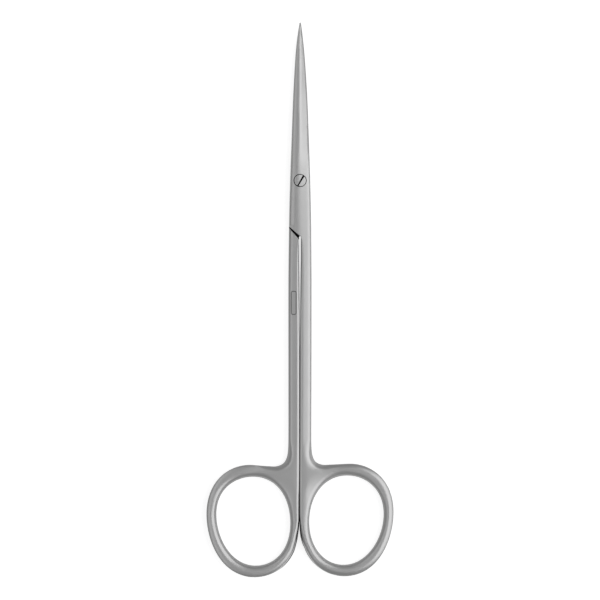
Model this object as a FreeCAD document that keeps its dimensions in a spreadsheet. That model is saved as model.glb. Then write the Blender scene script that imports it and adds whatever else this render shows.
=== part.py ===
import FreeCAD, Part
import math
import os
import Sketcher

# Dissecting scissors, closed and lying flat, in millimetres.
# The pivot is the Z axis at x = y = 0, the blades point along +Y and the underside rests on z = 0.
# Both halves are forged from one blank. The second is the first turned over about the Y axis,
# and only their screw holes differ.

sizes = [
    # whole
    ("bladeReach", 45.7, "pivot to the points"),
    ("handleReach", 114.4, "pivot to the far side of the finger rings"),
    ("thickness", 3.6, "joint, shanks and rings, top to bottom"),
    ("matingGap", 0.06, "running clearance between the flat inner faces"),
    ("pairGap", 0.2, "clearance between the closed shanks and rings"),
    # finger rings
    ("holeLong", 25.98, "finger hole, long way"),
    ("holeShort", 21.32, "finger hole, short way"),
    ("ringLean", 10.3, "lean of the rings away from each other, degrees"),
    ("wallOuter", 3.0, "ring wall on the outer side"),
    ("wallInner", 2.5, "ring wall between the rings"),
    ("wallEnd", 3.45, "ring wall at both ends of the hole"),
    ("holeBevel", 0.95, "bevel round the finger hole"),
    ("holeRound", 0.9, "rounding where that bevel meets the wall"),
    ("webRadius", 5.0, "hollow corner between shank and ring"),
    # shanks
    ("shankHalfWidth", 3.32, "centre line to the outer edge, at its widest"),
    ("neckHalfWidth", 3.25, "centre line to the outer edge, above the rings"),
    ("widestBelowPivot", 32.0, "pivot to the widest place of the shanks"),
    ("neckBelowPivot", 72.0, "pivot to the neck above the rings"),
    ("edgeBevel", 0.55, "bevel along the outer edges"),
    ("edgeRound", 0.6, "rounding on both sides of that bevel, on the handle"),
    ("windowWidth", 0.5, "see-through gap below the shoulders"),
    ("windowEnd", 23.5, "pivot to where that gap starts to close"),
    ("windowClosed", 29.5, "pivot to where it has closed to pairGap"),
    # joint plates
    ("plateAhead", 3.0, "joint plate, pivot to where the blade starts"),
    ("plateHalfWidth", 2.87, "joint plate at the blade end"),
    ("shoulderHalfWidth", 3.2, "joint plate at the shoulders"),
    ("shoulderOuter", 13.6, "pivot to the outer end of the slanted plate edge"),
    ("shoulderInner", 17.1, "pivot to the inner end of the slanted shoulder"),
    ("shoulderGap", 0.12, "clearance between plate edge and shoulder at the outer end"),
    ("cornerGap", 0.7, "clearance between them at the inner end"),
    # blade, as fractions of each section
    ("spineWall", 0.55, "height of the upright spine over the blade height"),
    ("spineShoulder", 0.78, "height of the spine bevel over the blade height"),
    ("spineBevel", 0.16, "width of the spine bevel over the half width"),
    # blade, sections
    ("rootCrest", 1.02, "crest line beside the centre line, at the joint plate"),
    ("heelFromTip", 35.2, "section behind the middle of the blade"),
    ("heelHalfWidth", 2.56, "its half width"),
    ("heelHeight", 1.52, "its height above the flat inner face"),
    ("heelCrest", 0.6, "its crest beside the centre line"),
    ("bellyFromTip", 21.3, "section in front of the middle"),
    ("bellyHalfWidth", 2.01, "its half width"),
    ("bellyHeight", 1.18, "its height above the flat inner face"),
    ("bellyCrest", 0.42, "its crest beside the centre line"),
    ("pointFromTip", 9.2, "section where the point starts to taper"),
    ("pointHalfWidth", 1.175, "its half width"),
    ("pointHeight", 0.8, "its height above the flat inner face"),
    ("pointCrest", 0.22, "its crest beside the centre line"),
    ("tipHalfWidth", 0.2, "half width at the very tip"),
    ("tipHeight", 0.32, "height at the very tip"),
    ("spineShow", 0.32, "how far the lower spine shows beyond the upper cutting edge"),
    ("tipSpineShow", 0.1, "the same at the tip"),
    ("edgeLand", 0.12, "flat left on the cutting edge"),
    # joint screw
    ("headRadius", 1.7, "screw head"),
    ("headHeight", 0.8, "screw head"),
    ("headClearance", 0.08, "round the screw head"),
    ("seatClearance", 0.03, "under the screw head"),
    ("shoulderRadius", 1.15, "plain part of the screw that the upper half turns on"),
    ("runningClearance", 0.04, "round the plain part of the screw"),
    ("threadRadius", 0.95, "threaded end of the screw"),
    ("threadClearance", 0.01, "round the threaded end"),
    ("slotWidth", 0.38, "screwdriver slot"),
    ("slotDepth", 0.4, "screwdriver slot"),
    ("slotAngle", 60.0, "screwdriver slot, from the X axis, degrees"),
    ("headChamfer", 0.1, "rim of the screw head"),
]

doc = FreeCAD.newDocument("dissecting_scissors")
dims = doc.addObject("Spreadsheet::Sheet", "dims")
for row, (alias, value, note) in enumerate(sizes, start=1):
    dims.set("A%d" % row, note)
    dims.set("B%d" % row, str(value))
    dims.setAlias("B%d" % row, alias)
doc.recompute()

# Expressions that several features share. The outer ring ellipse is the hole plus its walls.
mid = "(dims.thickness / 2)"
inner_face = "(dims.matingGap / 2)"
half_gap = "(dims.pairGap / 2)"
lean = "(dims.ringLean * 1deg)"
hole_a = "(dims.holeLong / 2)"
hole_b = "(dims.holeShort / 2)"
ring_a = "(%s + dims.wallEnd)" % hole_a
ring_b = "(%s + (dims.wallOuter + dims.wallInner) / 2)" % hole_b
ring_reach_x = "sqrt((%s * cos(%s))^2 + (%s * sin(%s))^2)" % (ring_b, lean, ring_a, lean)
ring_reach_y = "sqrt((%s * cos(%s))^2 + (%s * sin(%s))^2)" % (ring_a, lean, ring_b, lean)
ring_x = "(%s + %s)" % (half_gap, ring_reach_x)
ring_y = "(%s - dims.handleReach)" % ring_reach_y
hole_x = "(%s - (dims.wallOuter - dims.wallInner) / 2)" % ring_x
# height at which the outer ellipse is nearest to the centre line
touch_y = "(%s - (%s^2 - %s^2) * sin(%s) * cos(%s) / %s)" % (
    ring_y, ring_a, ring_b, lean, lean, ring_reach_x)
plate_height = "(%s - %s)" % (mid, inner_face)

# how near a point counts as being on a line or a face
TOUCH = 0.01


def value_of(expression):
    """Number that an expression on the sheet gives now."""
    result = dims.evalExpression(expression)
    return float(getattr(result, "Value", result))


def new_sketch(body, name, plane, offset="0"):
    """Empty sketch on an origin plane of the body, moved along the plane's normal."""
    planes = {feature.Role: feature for feature in body.Origin.OriginFeatures}
    sketch = body.newObject("Sketcher::SketchObject", name)
    sketch.AttachmentSupport = [(planes[plane], "")]
    sketch.MapMode = "FlatFace"
    sketch.setExpression("AttachmentOffset.Base.z", offset)
    sketch.Visibility = False
    return sketch


def constrain(sketch, name, expression, kind, *where):
    """Named constraint that is driven by the sheet."""
    start = math.radians(value_of(expression)) if kind == "Angle" else value_of(expression)
    index = sketch.addConstraint(Sketcher.Constraint(kind, *where, start))
    sketch.renameConstraint(index, name)
    sketch.setExpression("Constraints." + name, expression)


def draw_polygon(sketch, corners):
    """Closed outline through corners, each an (x, y) pair of expressions."""
    points = [FreeCAD.Vector(value_of(x), value_of(y), 0) for x, y in corners]
    count = len(points)
    for i in range(count):
        sketch.addGeometry(Part.LineSegment(points[i], points[(i + 1) % count]))
    for i in range(count):
        sketch.addConstraint(Sketcher.Constraint("Coincident", i, 2, (i + 1) % count, 1))
    for i, (x, y) in enumerate(corners):
        constrain(sketch, "x%d" % i, x, "DistanceX", -1, 1, i, 1)
        constrain(sketch, "y%d" % i, y, "DistanceY", -1, 1, i, 1)


def draw_ellipse(sketch, x, y, long_half, short_half):
    """Ellipse with its long axis leaning from Y towards X by ringLean."""
    centre = FreeCAD.Vector(value_of(x), value_of(y), 0)
    angle = math.radians(value_of("dims.ringLean"))
    along = FreeCAD.Vector(math.sin(angle), math.cos(angle), 0)
    across = FreeCAD.Vector(math.cos(angle), -math.sin(angle), 0)
    ellipse = sketch.addGeometry(Part.Ellipse(
        centre + along * value_of(long_half), centre + across * value_of(short_half), centre))
    sketch.exposeInternalGeometry(ellipse)
    constrain(sketch, "x", x, "DistanceX", -1, 1, ellipse, 3)
    constrain(sketch, "y", y, "DistanceY", -1, 1, ellipse, 3)
    constrain(sketch, "long", "2 * " + long_half, "Distance", ellipse + 1)
    constrain(sketch, "short", "2 * " + short_half, "Distance", ellipse + 2)
    constrain(sketch, "lean", "90 - dims.ringLean", "Angle", ellipse + 1)


def draw_circle(sketch, radius):
    """Circle about the pivot."""
    circle = sketch.addGeometry(Part.Circle(
        FreeCAD.Vector(0, 0, 0), FreeCAD.Vector(0, 0, 1), value_of(radius)))
    sketch.addConstraint(Sketcher.Constraint("Coincident", circle, 3, -1, 1))
    constrain(sketch, "radius", radius, "Radius", circle)


def add_feature(body, kind, name, **values):
    """Body feature whose numbers and expressions come as keywords."""
    feature = body.newObject("PartDesign::" + kind, name)
    for key, value in values.items():
        if isinstance(value, str) and "dims." in value:
            feature.setExpression(key, value)
        else:
            setattr(feature, key, value)
    doc.recompute()
    return feature


def pick_edges(feature, wanted):
    """Names of the edges whose middle point and direction pass the test."""
    names = []
    for number, edge in enumerate(feature.Shape.Edges, start=1):
        middle = edge.valueAt((edge.FirstParameter + edge.LastParameter) / 2)
        along = edge.tangentAt((edge.FirstParameter + edge.LastParameter) / 2)
        if wanted(edge, middle, along):
            names.append("Edge%d" % number)
    return names


def blade_section(half_width, height, crest, show, rim=None):
    """Seven corners of a blade section in x and z: flat inner face below, crowned face above.
    The root section has an edge bevel there in place of the ground cutting edge."""
    left = "(-%s)" % half_width
    right = "(%s - %s)" % (half_width, show)
    foot = "(%s + dims.edgeLand)" % inner_face
    slope_x = "((%s - %s) / 2)" % (right, crest)
    slope_z = "(%s + (%s + dims.edgeLand) / 2)" % (inner_face, height)
    if rim:
        slope_x = "(%s - %s)" % (right, rim)
        slope_z = "(%s + %s)" % (inner_face, height)
        foot = "(%s + %s - %s)" % (inner_face, height, rim)
    return [
        (left, inner_face),
        (left, "(%s + dims.spineWall * %s)" % (inner_face, height)),
        ("(%s + dims.spineBevel * %s)" % (left, half_width),
         "(%s + dims.spineShoulder * %s)" % (inner_face, height)),
        ("(-%s)" % crest, "(%s + %s)" % (inner_face, height)),
        (slope_x, slope_z),
        (right, foot),
        (right, inner_face),
    ]


def add_handle(body):
    """Finger ring and shank, full thickness, with the web between them."""
    ring = new_sketch(body, body.Name + "_ring", "XY_Plane")
    draw_ellipse(ring, ring_x, ring_y, ring_a, ring_b)
    add_feature(body, "Pad", body.Name + "_ring_pad", Profile=ring, Midplane=True,
                Length="dims.thickness")
    shank = new_sketch(body, body.Name + "_shank", "XY_Plane")
    draw_polygon(shank, [
        (half_gap, touch_y),
        (half_gap, "(-dims.windowClosed)"),
        ("(dims.windowWidth / 2)", "(-dims.windowEnd)"),
        ("(dims.windowWidth / 2)", "(-dims.shoulderInner)"),
        ("dims.shoulderHalfWidth", "(-dims.shoulderOuter - dims.shoulderGap)"),
        ("dims.shankHalfWidth", "(-dims.widestBelowPivot)"),
        ("dims.neckHalfWidth", "(-dims.neckBelowPivot)"),
        ("dims.neckHalfWidth", touch_y),
    ])
    return add_feature(body, "Pad", body.Name + "_shank_pad", Profile=shank, Midplane=True,
                       Length="dims.thickness")


def add_plate(body):
    """Half-thickness joint plate, with its slanted edge on the other half's side."""
    plate = new_sketch(body, body.Name + "_plate", "XY_Plane", inner_face)
    draw_polygon(plate, [
        ("(-dims.plateHalfWidth)", "dims.plateAhead"),
        ("(-dims.shoulderHalfWidth)", "(-dims.shoulderOuter)"),
        ("(dims.windowWidth / 2)", "(-dims.shoulderInner + dims.cornerGap)"),
        ("(dims.windowWidth / 2)", "(-dims.shoulderInner)"),
        ("dims.shoulderHalfWidth", "(-dims.shoulderInner)"),
        ("dims.shoulderHalfWidth", "(-dims.shoulderOuter)"),
        ("dims.plateHalfWidth", "dims.plateAhead"),
    ])
    return add_feature(body, "Pad", body.Name + "_plate_pad", Profile=plate, Length=plate_height)


def add_edges(body, solid):
    """Hollow web corner, finger hole and bevelled edges of the handle."""
    top = value_of(mid)
    wall = value_of("dims.neckHalfWidth")
    neck = -value_of("dims.neckBelowPivot")
    corner = pick_edges(solid, lambda edge, middle, along: (
        abs(along.z) > 1 - TOUCH and abs(middle.x - wall) < TOUCH and middle.y < neck - TOUCH))
    add_feature(body, "Fillet", body.Name + "_web", Base=(solid, corner),
                Radius="dims.webRadius")
    hole = new_sketch(body, body.Name + "_finger_hole", "XY_Plane")
    draw_ellipse(hole, hole_x, ring_y, hole_a, hole_b)
    opened = add_feature(body, "Pocket", body.Name + "_finger_hole_cut", Profile=hole,
                         Type="ThroughAll", Midplane=True)
    rims = pick_edges(opened, lambda edge, middle, along: (
        edge.isClosed() and abs(abs(middle.z) - top) < TOUCH))
    bevelled = add_feature(body, "Chamfer", body.Name + "_hole_bevel", Base=(opened, rims),
                           Size="dims.holeBevel")
    low_rim = top - value_of("dims.holeBevel")
    rims = pick_edges(bevelled, lambda edge, middle, along: (
        edge.isClosed() and abs(abs(middle.z) - low_rim) < TOUCH))
    rounded = add_feature(body, "Fillet", body.Name + "_hole_round", Base=(bevelled, rims),
                          Radius="dims.holeRound")
    shoulder = -value_of("dims.shoulderInner")
    outline = pick_edges(rounded, lambda edge, middle, along: (
        not edge.isClosed() and middle.x > TOUCH and abs(along.z) < TOUCH
        and (abs(middle.z - top) < TOUCH or abs(middle.z + top) < TOUCH and middle.y < shoulder)))
    edged = add_feature(body, "Chamfer", body.Name + "_edge_bevel", Base=(rounded, outline),
                        Size="dims.edgeBevel")
    low_edge = top - value_of("dims.edgeBevel")
    outline = pick_edges(edged, lambda edge, middle, along: (
        not edge.isClosed() and middle.x > TOUCH and middle.y < shoulder and abs(along.z) < TOUCH
        and min(abs(abs(middle.z) - z) for z in (top, low_edge)) < TOUCH))
    return add_feature(body, "Fillet", body.Name + "_edge_round", Base=(edged, outline),
                       Radius="dims.edgeRound")


def add_blade(body):
    """Sloping facet on the spine side of the joint plate, then the blade in front of it."""
    root = blade_section("dims.plateHalfWidth", plate_height, "dims.rootCrest", "0",
                         rim="dims.edgeBevel")
    facet = new_sketch(body, body.Name + "_facet", "XZ_Plane")
    wall, shoulder, crest = root[1], root[2], root[3]
    outside = "(-2 * dims.shoulderHalfWidth)"
    above = "(2 * dims.thickness)"
    # the bevel goes on outwards at its own slope, because the plate widens towards the shoulders
    slope = "((%s - %s) / (%s - %s))" % (shoulder[1], wall[1], shoulder[0], wall[0])
    draw_polygon(facet, [
        (outside, "(%s - %s * (%s - %s))" % (wall[1], slope, wall[0], outside)),
        shoulder,
        crest,
        (crest[0], above),
        (outside, above),
    ])
    add_feature(body, "Pocket", body.Name + "_facet_cut", Profile=facet, Type="ThroughAll",
                Midplane=True)
    places = [("root", "dims.plateAhead", root)]
    for place, show in (("heel", "dims.spineShow"), ("belly", "dims.spineShow"),
                        ("point", "dims.spineShow"), ("tip", "dims.tipSpineShow")):
        crest = "0" if place == "tip" else "dims.%sCrest" % place
        along = "dims.bladeReach"
        if place != "tip":
            along = "(dims.bladeReach - dims.%sFromTip)" % place
        section = blade_section("dims.%sHalfWidth" % place, "dims.%sHeight" % place, crest, show)
        places.append((place, along, section))
    sketches = []
    for place, along, section in places:
        sketch = new_sketch(body, "%s_%s_section" % (body.Name, place), "XZ_Plane", "(-%s)" % along)
        draw_polygon(sketch, section)
        sketches.append(sketch)
    return add_feature(body, "AdditiveLoft", body.Name + "_blade", Profile=sketches[0],
                       Sections=sketches[1:])


def cut_round(body, name, radius, depth=None, height="0"):
    """Round hole about the pivot, right through or down to depth below height."""
    sketch = new_sketch(body, "%s_%s" % (body.Name, name), "XY_Plane", height)
    draw_circle(sketch, radius)
    before = body.Shape.Volume
    if depth:
        cut = add_feature(body, "Pocket", "%s_%s_cut" % (body.Name, name), Profile=sketch,
                          Length=depth)
    else:
        cut = add_feature(body, "Pocket", "%s_%s_cut" % (body.Name, name), Profile=sketch,
                          Type="ThroughAll", Midplane=True)
    if not body.Shape.Volume < before:
        raise RuntimeError("%s cuts nothing" % cut.Name)


def make_half(name):
    """One forged half, with its mid-plane at z = 0 and the blade's spine at -X."""
    body = doc.addObject("PartDesign::Body", name)
    body.Label = name
    add_handle(body)
    add_edges(body, add_plate(body))
    add_blade(body)
    body.setExpression("Placement.Base.z", mid)
    return body


def make_screw(name):
    """Slotted flat head, plain part in the upper half, threaded end flush with the underside."""
    body = doc.addObject("PartDesign::Body", name)
    body.Label = name
    profile = new_sketch(body, name + "_profile", "XZ_Plane")
    draw_polygon(profile, [
        ("0", "0"),
        ("dims.threadRadius", "0"),
        ("dims.threadRadius", "(%s - %s)" % (mid, inner_face)),
        ("dims.shoulderRadius", "(%s - %s)" % (mid, inner_face)),
        ("dims.shoulderRadius", "(dims.thickness - dims.headHeight)"),
        ("dims.headRadius", "(dims.thickness - dims.headHeight)"),
        ("dims.headRadius", "(dims.thickness - dims.headChamfer)"),
        ("(dims.headRadius - dims.headChamfer)", "dims.thickness"),
        ("0", "dims.thickness"),
    ])
    add_feature(body, "Revolution", name + "_turned", Profile=profile,
                ReferenceAxis=(profile, ["V_Axis"]), Angle=360.0)
    slot = new_sketch(body, name + "_slot", "XY_Plane", "(dims.thickness - dims.slotDepth)")
    half_width = "(dims.slotWidth / 2)"
    half_length = "(2 * dims.headRadius)"
    turn = "(dims.slotAngle * 1deg)"
    draw_polygon(slot, [
        ("(%s * %s * cos(%s) - %s * %s * sin(%s))" % (u, half_length, turn, v, half_width, turn),
         "(%s * %s * sin(%s) + %s * %s * cos(%s))" % (u, half_length, turn, v, half_width, turn))
        for u, v in ((-1, -1), (1, -1), (1, 1), (-1, 1))])
    add_feature(body, "Pocket", name + "_slot_cut", Profile=slot, Reversed=True,
                Length="(2 * dims.slotDepth)")
    return body


upper = make_half("upper_half")
cut_round(upper, "pivot_hole", "(dims.shoulderRadius + dims.runningClearance)")
cut_round(upper, "head_seat", "(dims.headRadius + dims.headClearance)",
          "(dims.headHeight + dims.seatClearance)", mid)

# the same forging turned over
lower = make_half("lower_half")
lower.Placement.Rotation = FreeCAD.Rotation(FreeCAD.Vector(0, 1, 0), 180)
cut_round(lower, "screw_thread", "(dims.threadRadius + dims.threadClearance)")

screw = make_screw("joint_screw")
doc.recompute()

for item in doc.Objects:
    if "Invalid" in item.State or "Error" in item.State:
        raise RuntimeError("%s failed: %s" % (item.Name, item.State))

os.makedirs("parts", exist_ok=True)
for body in (upper, lower, screw):
    if body.Shape.isNull() or not body.Shape.isValid() or len(body.Shape.Solids) != 1:
        raise RuntimeError("%s is not one sound solid" % body.Label)
    body.Shape.exportStep("parts/%s.step" % body.Label)
    print(body.Label, round(body.Shape.Volume, 2), body.Shape.BoundBox)
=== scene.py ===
import math
import bpy
import numpy as np
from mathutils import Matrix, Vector
from mathutils.geometry import delaunay_2d_cdt


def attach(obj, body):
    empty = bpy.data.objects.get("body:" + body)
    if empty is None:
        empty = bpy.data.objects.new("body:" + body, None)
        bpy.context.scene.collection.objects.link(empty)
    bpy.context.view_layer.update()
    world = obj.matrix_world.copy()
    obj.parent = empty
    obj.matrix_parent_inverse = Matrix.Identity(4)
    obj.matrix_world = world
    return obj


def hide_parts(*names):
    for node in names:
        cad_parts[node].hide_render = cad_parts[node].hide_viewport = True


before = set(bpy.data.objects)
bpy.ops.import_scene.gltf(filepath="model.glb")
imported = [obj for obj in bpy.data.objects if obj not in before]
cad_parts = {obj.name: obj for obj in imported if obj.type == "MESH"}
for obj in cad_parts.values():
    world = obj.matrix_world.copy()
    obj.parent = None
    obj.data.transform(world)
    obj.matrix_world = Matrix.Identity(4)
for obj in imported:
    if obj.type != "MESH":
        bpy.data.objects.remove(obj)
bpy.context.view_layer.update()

# Dissecting scissors, closed and lying flat. Plan shapes are in millimetres here and turned
# to metres when a mesh is made. The pivot is x = y = 0 and the points look along +Y.
millimetre = 0.001


# Smooth value at y through the knots of a table of (y, value) pairs
def spread(table, y):
    knots = np.array(sorted(table), float)
    at, value = knots[:, 0], knots[:, 1]
    slope = np.diff(value) / np.diff(at)
    tangent = np.zeros(len(at))
    for i in range(1, len(at) - 1):
        if slope[i - 1] * slope[i] > 0:
            tangent[i] = 2 * slope[i - 1] * slope[i] / (slope[i - 1] + slope[i])
    tangent[0], tangent[-1] = slope[0], slope[-1]
    y = np.clip(y, at[0], at[-1])
    i = np.clip(np.searchsorted(at, y) - 1, 0, len(slope) - 1)
    step = at[i + 1] - at[i]
    t = (y - at[i]) / step
    return ((2 * t**3 - 3 * t**2 + 1) * value[i] + (t**3 - 2 * t**2 + t) * step * tangent[i]
            + (3 * t**2 - 2 * t**3) * value[i + 1] + (t**3 - t**2) * step * tangent[i + 1])


# New object in the scene
def addObject(name, data):
    made = bpy.data.objects.new(name, data)
    bpy.context.scene.collection.objects.link(made)
    return made


# Adds a node with its settings and links; a space in an input's name is written as _
def addNode(tree, kind, settings=None, **links):
    node = tree.nodes.new(kind)
    for key, value in (settings or {}).items():
        if key in node.inputs:
            node.inputs[key].default_value = value
        else:
            setattr(node, key, value)
    for key, source in links.items():
        tree.links.new(source, node.inputs[key.replace("_", " ")])
    return node


# One forged half. Tables give a size at places along Y.
half = {
    "tipY": 45.7,
    # above this the points along Y are closer together
    "fineY": 36.0,
    "halfWidth": [(45.7, 0.16), (42.0, 0.63), (36.5, 1.2), (24.4, 2.01), (10.5, 2.56), (0, 2.92),
                  (-13.7, 3.18), (-31, 3.32), (-57, 3.27), (-72, 3.24), (-75, 3.25)],
    "spineShow": [(45.7, 0.08), (36.0, 0.32), (10.5, 0.32), (3.0, 0.0), (-20, 0.0)],
    "innerLine": [(45.7, 0.27), (-22.0, 0.27), (-27.0, 0.2), (-33.0, 0.14), (-41.0, 0.07),
                  (-50.0, 0.002), (-99.6, 0.002)],
    "innerEnd": -16.25,
    "plateLeftEnd": -13.2,
    "shoulderLine": [(3.2, -13.6), (0.27, -17.08)],
    "innerFace": 0.03,
    "halfThickness": 1.8,
    # height of the crest above the mid-plane
    "crest": [(45.7, 0.33), (36.5, 0.68), (24.4, 1.09), (10.5, 1.45), (3.0, 1.76), (0.0, 1.8),
              (-20, 1.8)],
    # outer side: width, drop and bend of the crown, then the width of the edge and its slopes
    # where it starts and at the wall
    "outerWidth": [(45.7, 0.14), (36.5, 0.88), (24.4, 1.74), (10.5, 2.42), (3.0, 3.7), (-13, 4.0),
                   (-24, 2.85), (-120, 2.85)],
    "outerDrop": [(45.7, 0.17), (36.5, 0.6), (24.4, 1.08), (10.5, 1.23), (3.0, 0.66), (-4, 0.53),
                  (-13, 0.5), (-24, 0.38), (-120, 0.38)],
    "outerBend": [(45.7, 0.02), (24.4, 0.025), (10.5, 0.12), (3.0, 0.22), (-20, 0.2), (-120, 0.2)],
    "outerEdge": [(45.7, 0.0), (17.0, 0.0), (10.5, 0.25), (3.0, 0.75), (0.0, 0.85), (-16, 1.0),
                  (-72, 1.0)],
    "outerSlopes": (0.08, 0.78),
    # spine side of blade and joint plate
    "spineWidth": [(45.7, 0.14), (36.5, 0.8), (24.4, 1.45), (10.5, 1.8), (3.0, 1.9), (-14, 2.1)],
    "spineDrop": [(45.7, 0.05), (36.5, 0.2), (24.4, 0.3), (10.5, 0.36), (3.0, 0.42), (-14, 0.45)],
    "spineBend": 1.0,
    "spineEdge": [(45.7, 0.05), (36.5, 0.22), (24.4, 0.34), (10.5, 0.42), (3.0, 0.46),
                  (-14, 0.46)],
    "spineSlopes": (0.15, 1.9),
    # inner side of the shank, whose crown grows into that of the ring
    "innerCrownWidth": 1.4,
    "innerCrownShare": [(-10, 0.0), (-84, 0.0), (-98, 0.8), (-103, 1.0)],
    "innerEdge": [(-16.4, 0.1), (-20, 0.32), (-30, 0.5), (-50, 0.65), (-84, 0.65), (-98, 0.5)],
    "innerSlopes": (0.15, 0.6),
    # steep groove where the two shanks meet: width on this half, and depth of a wide one
    "groove": [(45.7, 0.0), (-16.6, 0.0), (-19, 0.15), (-33, 0.2), (-42, 0.13), (-80, 0.12),
               (-88, 0.18), (-92, 0.29), (-99, 0.31), (-103.5, 0.4), (-108, 0.4), (-116, 0.0)],
    "grooveDepth": 1.4,
    # edge of the slanted ends of the joint plate
    "plateEndEdge": 0.08,
    # ring, whose crown is narrower towards the other ring
    "ringCrownWidth": 1.95,
    "ringCrownVaries": 0.25,
    "ringCrownDrop": 0.06,
    "ringCrownBend": 1.5,
    "ringEdge": 1.4,
    # lower part of the ring beside the other one: share of the crown, width of the edge and
    # share of nearSlopes along Y, then share of ringSlopes by angle round the ring
    "nearCrownShare": [(-98, 0.8), (-103, 1.0), (-120, 1.0)],
    "nearEdge": [(-98, 0.5), (-108, 1.1), (-120, 1.1)],
    "nearShare": [(-98, 0.0), (-104, 1.0), (-120, 1.0)],
    "ringShare": [(180, 1.0), (200, 0.4), (225, 0.0), (300, 0.0)],
    # rings and webs get thinner away from the shanks
    "thinsShare": [(-77, 0.0), (-83, 1.0), (-120, 1.0)],
    "thinsFrom": 2.0,
    "thinsOver": 11.0,
    # by angle round the hole, clockwise from the top: width of the bevel, slopes of its two
    # facets, then width and drop of the crown beyond it
    "holeBevel": [(0, 1.2), (180, 1.2), (210, 1.45), (240, 1.2), (270, 0.95), (300, 1.3),
                  (330, 1.45), (360, 1.2)],
    "holeLip": [(0, 0.38), (360, 0.38)],
    "holeSteep": 1.08,
    "holeCrown": [(0, 3.0, 0.0), (200, 1.2, 0.0), (240, 1.2, 0.1), (275, 1.2, 0.1),
                  (300, 3.0, 0.26), (335, 3.2, 0.2), (360, 3.0, 0.0)],
    # how much wider the edge is along the web, from the ring to the shank
    "webFacet": [(0, 0.0), (0.3, 0.8), (0.6, 1.5), (0.8, 0.8), (1, 0.0)],
    # how much of a recess a place is by its distance from the middle line, for the painted shade
    # of
    # the satin steel: it ends where the rings part
    "recessShare": [(0.0, 1.0), (0.8, 1.0), (3.2, 0.0), (99.0, 0.0)],
}

# The rings of the two halves were bent and ground by hand, so they differ a little
upperHalf = dict(
    half,
    web=[(3.36, -75.0), (3.42, -76.9), (3.68, -79.2), (4.6, -81.15), (6.6, -82.05), (9.2, -82.0)],
    ring={"x": 13.8, "y": -97.97, "long": 16.31, "short": 13.72, "lean": 11.9, "egg": 0.0,
          "square": 0.046, "from": 230.0, "to": -15.0},
    hole={"x": 13.41, "y": -98.06, "long": 12.95, "short": 10.92, "lean": 9.9, "egg": 0.057,
          "square": 0.027},
    parting=[(0.002, -99.2), (0.06, -101.0), (0.25, -102.6), (0.52, -103.76), (0.86, -104.9)],
    halfWidth=[(45.7, 0.22), (42.0, 0.8), (36.5, 1.38), (24.4, 2.06), (10.5, 2.56), (0, 2.92),
               (-13.7, 3.22), (-31, 3.36), (-57, 3.38), (-72, 3.35), (-75, 3.36)],
    spineShow=[(45.7, 0.14), (42.0, 0.38), (36.0, 0.5), (24.4, 0.37), (10.5, 0.32), (3.0, 0.0),
               (-20, 0.0)],
    groove=[(45.7, 0.0), (-16.6, 0.0), (-18, 0.18), (-30, 0.2), (-40, 0.12), (-76, 0.11),
            (-86, 0.07), (-96, 0.09), (-99, 0.3), (-103.5, 0.45), (-107.5, 0.4), (-114, 0.0)],
    ringThins=0.062,
    ringEdge=1.2,
    ringSlopes=(0.3, 0.95),
    nearSlopes=(0.3, 0.95),
)
lowerHalf = dict(
    half,
    web=[(3.25, -75.0), (3.32, -77.2), (3.6, -79.55), (4.6, -81.55), (6.6, -82.5), (9.2, -82.5)],
    ring={"x": 13.56, "y": -98.34, "long": 16.28, "short": 13.66, "lean": 11.0, "egg": 0.0,
          "square": 0.042, "from": 230.0, "to": -15.0},
    hole={"x": 13.21, "y": -98.4, "long": 12.88, "short": 11.01, "lean": 9.4, "egg": 0.056,
          "square": 0.042},
    parting=[(0.002, -98.4), (0.13, -100.3), (0.27, -101.46), (0.45, -102.6), (0.62, -103.76),
             (0.9, -104.9)],
    ringThins=0.032,
    outerDrop=[(45.7, 0.17), (36.5, 0.56), (24.4, 0.99), (10.5, 1.22), (3.0, 0.66), (-4, 0.53),
               (-13, 0.5), (-24, 0.28), (-120, 0.28)],
    outerBend=[(45.7, 0.12), (10.5, 0.12), (3.0, 0.22), (-20, 0.3), (-120, 0.5)],
    holeBevel=[(0, 1.2), (30, 1.4), (60, 1.65), (90, 1.35), (120, 1.45), (150, 1.8), (180, 1.3),
               (210, 1.2), (270, 1.0), (330, 1.3), (360, 1.2)],
    holeLip=[(0, 0.38), (35, 0.3), (60, 0.12), (85, 0.36), (120, 0.32), (150, 0.22), (200, 0.38),
             (360, 0.38)],
    innerSlopes=(0.15, 0.9),
    nearSlopes=(0.3, 1.2),
    ringSlopes=(0.08, 0.52),
)


# Points of a leaning oval; 0 degrees is its top and 90 its outer side. Its egg value widens
# the top and its square value narrows the sides.
def eggPoint(ring, degrees):
    t = np.radians(degrees)
    lean = math.radians(ring["lean"])
    u = ring["long"] * np.cos(t)
    v = ring["short"] * np.sin(t) * (1 + ring["egg"] * np.cos(t) + ring["square"] * np.cos(2 * t))
    return np.stack([ring["x"] + u * math.sin(lean) + v * math.cos(lean),
                     ring["y"] + u * math.cos(lean) - v * math.sin(lean)], axis=-1)


# Same path with points an even distance apart
def resample(points, spacing):
    points = np.asarray(points, float)
    run = np.concatenate([[0], np.cumsum(np.linalg.norm(np.diff(points, axis=0), axis=1))])
    count = max(2, int(round(run[-1] / spacing)) + 1)
    at = np.linspace(0, run[-1], count)
    return np.stack([np.interp(at, run, points[:, 0]), np.interp(at, run, points[:, 1])], axis=-1)


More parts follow.
